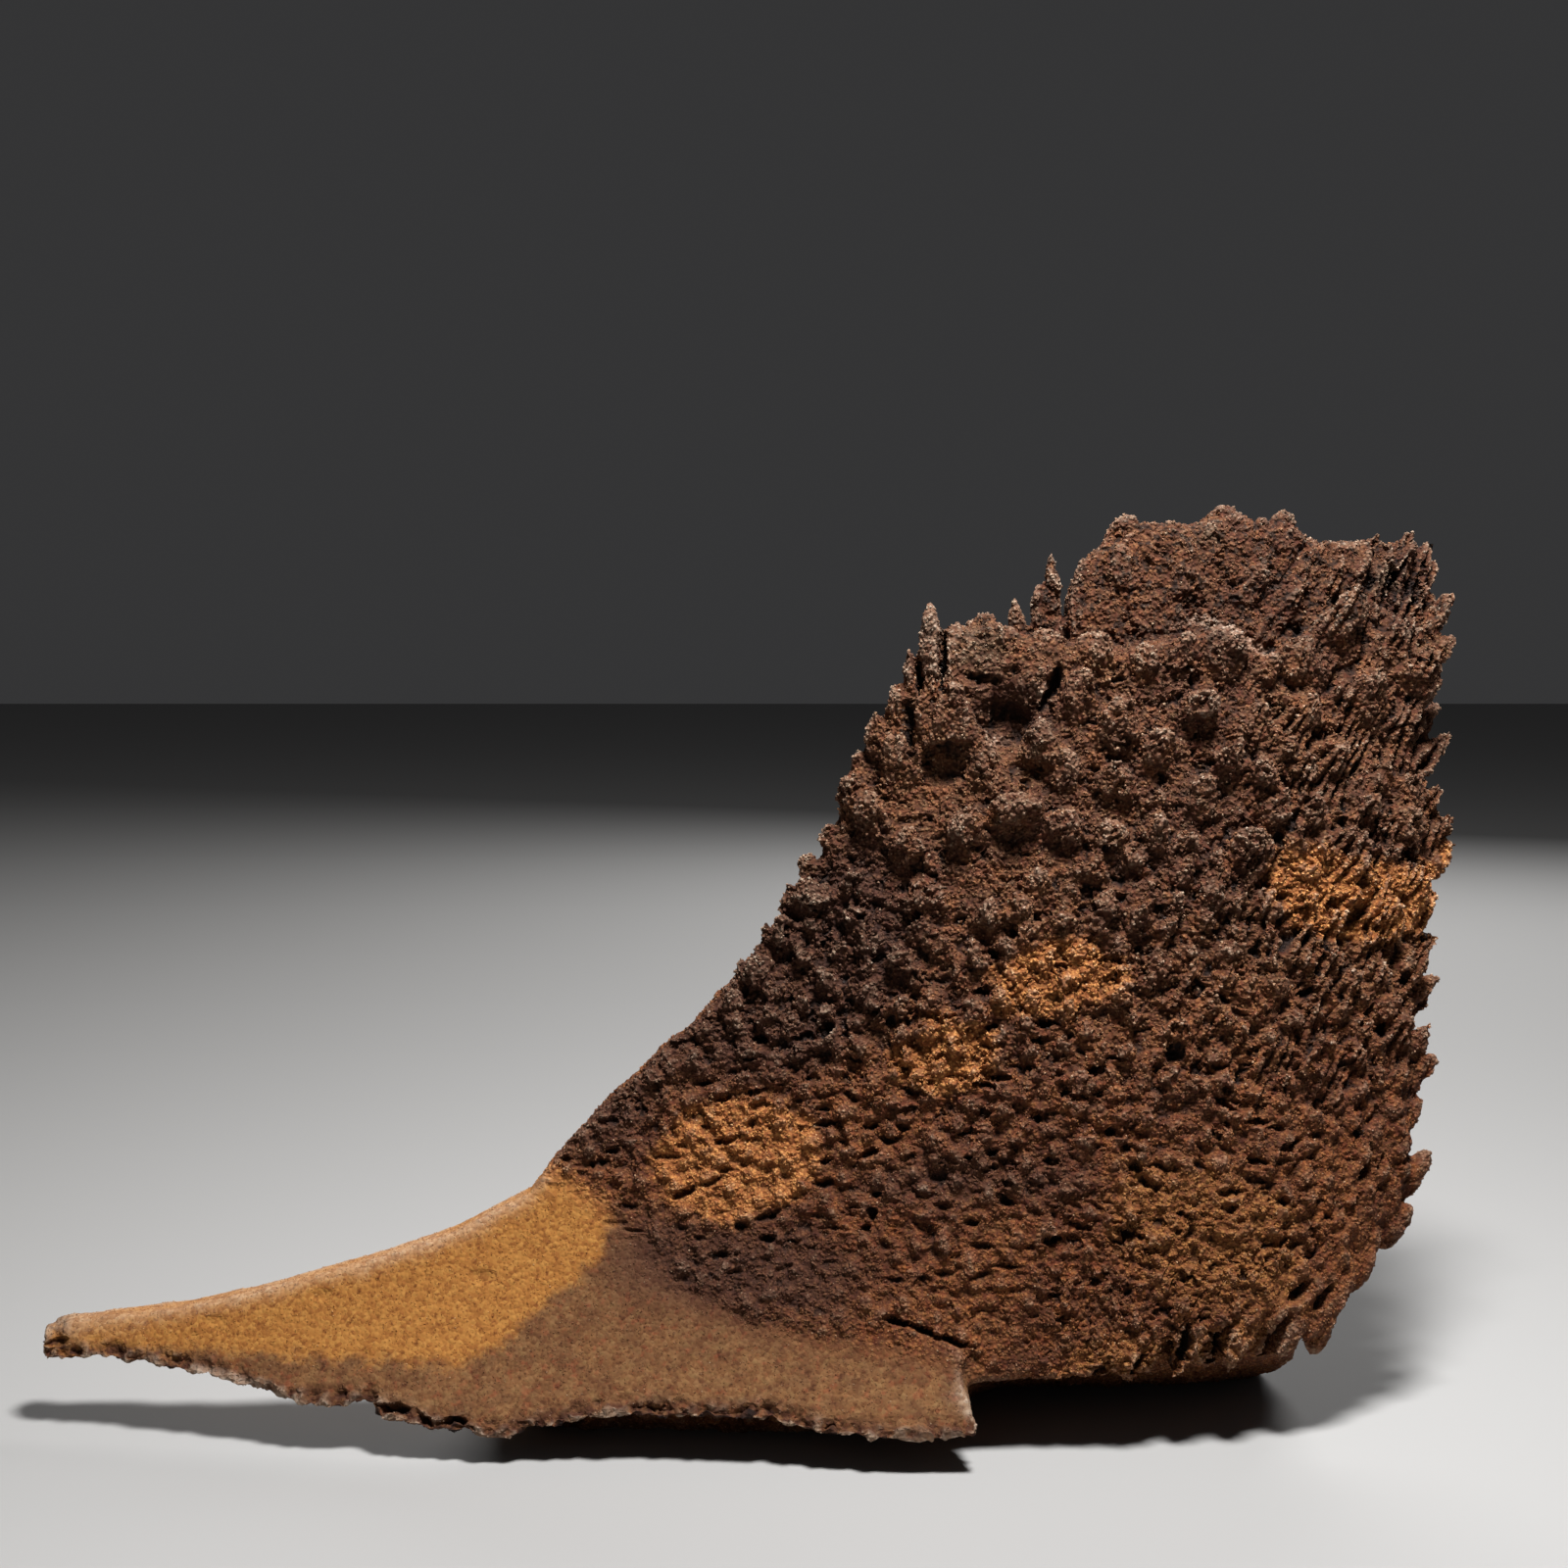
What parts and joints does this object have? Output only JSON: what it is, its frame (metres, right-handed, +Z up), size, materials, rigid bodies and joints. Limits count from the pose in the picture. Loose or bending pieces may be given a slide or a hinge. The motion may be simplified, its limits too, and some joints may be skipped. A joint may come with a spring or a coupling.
{
  "type": "iron concretion",
  "caption": "Curved plate of iron-cemented sandstone, a smooth low tongue rising into an upright fan of overlapping scales, standing on a rough heel.",
  "frame": {"origin": "middle of the footprint, on the ground that the heel rests on", "axes": "+X along the plate from the tongue's tip to the fan, -Y out of the scaled face, +Z up"},
  "size_m": [0.3095, 0.0935, 0.1945],
  "materials": {
    "ironstone": "rough, gritty, dark rust brown with ochre stains"
  },
  "bodies": {
    "root": {"iron_concretion": "ironstone"}
  },
  "joints": []
}
